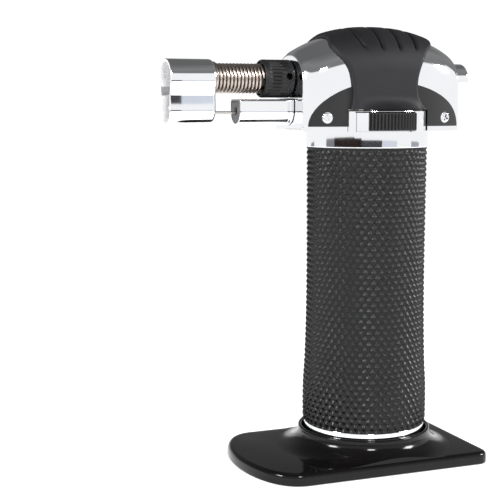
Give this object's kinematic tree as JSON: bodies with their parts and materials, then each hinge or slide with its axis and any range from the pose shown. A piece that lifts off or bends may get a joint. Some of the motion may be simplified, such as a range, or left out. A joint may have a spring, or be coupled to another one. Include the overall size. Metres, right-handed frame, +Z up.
{
  "type": "butane torch",
  "caption": "Hand-held butane torch in a flared desk stand, with a textured fuel handle, a plated head with a saddle grip, a side burner in a flame guard, and a push-button igniter.",
  "frame": {"origin": "on the bench under the handle's axis, at the centre line of the stand's underside", "axes": "+Z up along the handle, -X the way the burner points, -Y the side with the dial marks that faces the viewer"},
  "size_m": [0.103, 0.0512, 0.1405],
  "materials": {
    "chrome": "bright plated finish with soft wear",
    "gloss_black": "glossy moulded black plastic",
    "grip_black": "satin black with small raised diamond points",
    "saddle_rubber": "soft-touch charcoal rubber",
    "plate_black": "satin charcoal plastic",
    "inner_plastic": "plain moulded plastic",
    "tank_metal": "drawn aluminium",
    "brass": "machined brass",
    "steel": "bright drawn steel",
    "burner_steel": "heat-tinted stainless steel",
    "ceramic_white": "unglazed white ceramic or wick sleeve",
    "plug_grey": "matt grey moulded insulator",
    "seal_rubber": "black seal rubber",
    "tube_clear": "milky plastic gas tube"
  },
  "bodies": {
    "stand": {"base_stand": "gloss_black"},
    "torch": {"fuel_tank": "tank_metal", "tank_sleeve": "grip_black", "lower_trim_ring": "chrome", "bottom_plate": "inner_plastic", "refill_valve_body": "brass", "feed_wick_tube": "ceramic_white", "collar_ring": "chrome", "head_shell": "chrome", "side_plate_near": "plate_black", "side_plate_far": "plate_black", "plate_screw_near_front": "chrome", "plate_screw_near_rear": "chrome", "plate_screw_far_front": "chrome", "plate_screw_far_rear": "chrome", "grip_saddle": "saddle_rubber", "burner_socket": "brass", "gas_jet": "brass", "burner_tube": "burner_steel", "flame_holder": "burner_steel", "heat_coil": "burner_steel", "coil_flange": "burner_steel", "flame_guard": "chrome", "igniter_barrel": "chrome", "barrel_plug": "plug_grey", "electrode_wire": "steel", "piezo_body": "inner_plastic", "igniter_lead": "seal_rubber", "button_spring": "steel", "gas_valve_body": "brass", "valve_o_ring": "seal_rubber", "lever_pin": "steel", "chassis": "inner_plastic", "gas_tube": "tube_clear"},
    "gas_dial": {"gas_dial": "plate_black"},
    "air_collar": {"air_collar": "plate_black"},
    "ignition": {"ignition_button": "chrome", "ignition_plunger": "inner_plastic"},
    "gas_lever": {"gas_lever": "steel"},
    "valve_stem": {"valve_stem": "brass"},
    "refill_stem": {"refill_stem": "brass"}
  },
  "joints": [
    {"name": "torch_lift", "type": "slide", "parent": "stand", "child": "torch", "axis": [0, 0, 1], "range_m": [0, 0.025]},
    {"name": "gas_dial_turn", "type": "hinge", "parent": "torch", "child": "gas_dial", "pos_m": [0, 0, 0.1106], "axis": [0, 0, -1], "range_deg": [0, 11]},
    {"name": "air_collar_turn", "type": "hinge", "parent": "torch", "child": "air_collar", "pos_m": [-0.0327, 0, 0.1239], "axis": [1, 0, 0], "range_deg": [-45, 45]},
    {"name": "ignition_press", "type": "slide", "parent": "torch", "child": "ignition", "axis": [-1, 0, 0], "range_m": [0, 0.004], "stiffness_N_per_m": 600, "springref_m": -0.003, "deforming": ["button_spring"]},
    {"name": "gas_lever_rock", "type": "hinge", "parent": "torch", "child": "gas_lever", "pos_m": [-0.0045, 0, 0.1115], "axis": [0, -1, 0], "range_deg": [0, 31]},
    {"name": "valve_stem_lift", "type": "slide", "parent": "torch", "child": "valve_stem", "axis": [0, 0, 1], "range_m": [0, 0.00162]},
    {"name": "refill_stem_press", "type": "slide", "parent": "torch", "child": "refill_stem", "axis": [0, 0, 1], "range_m": [0, 0.0015], "stiffness_N_per_m": 400, "springref_m": -0.0015}
  ],
  "couplings": [
    {"joint": "gas_lever_rock", "follows": "ignition_press", "rad_per_m": 135},
    {"joint": "valve_stem_lift", "follows": "ignition_press", "ratio": 0.4}
  ]
}
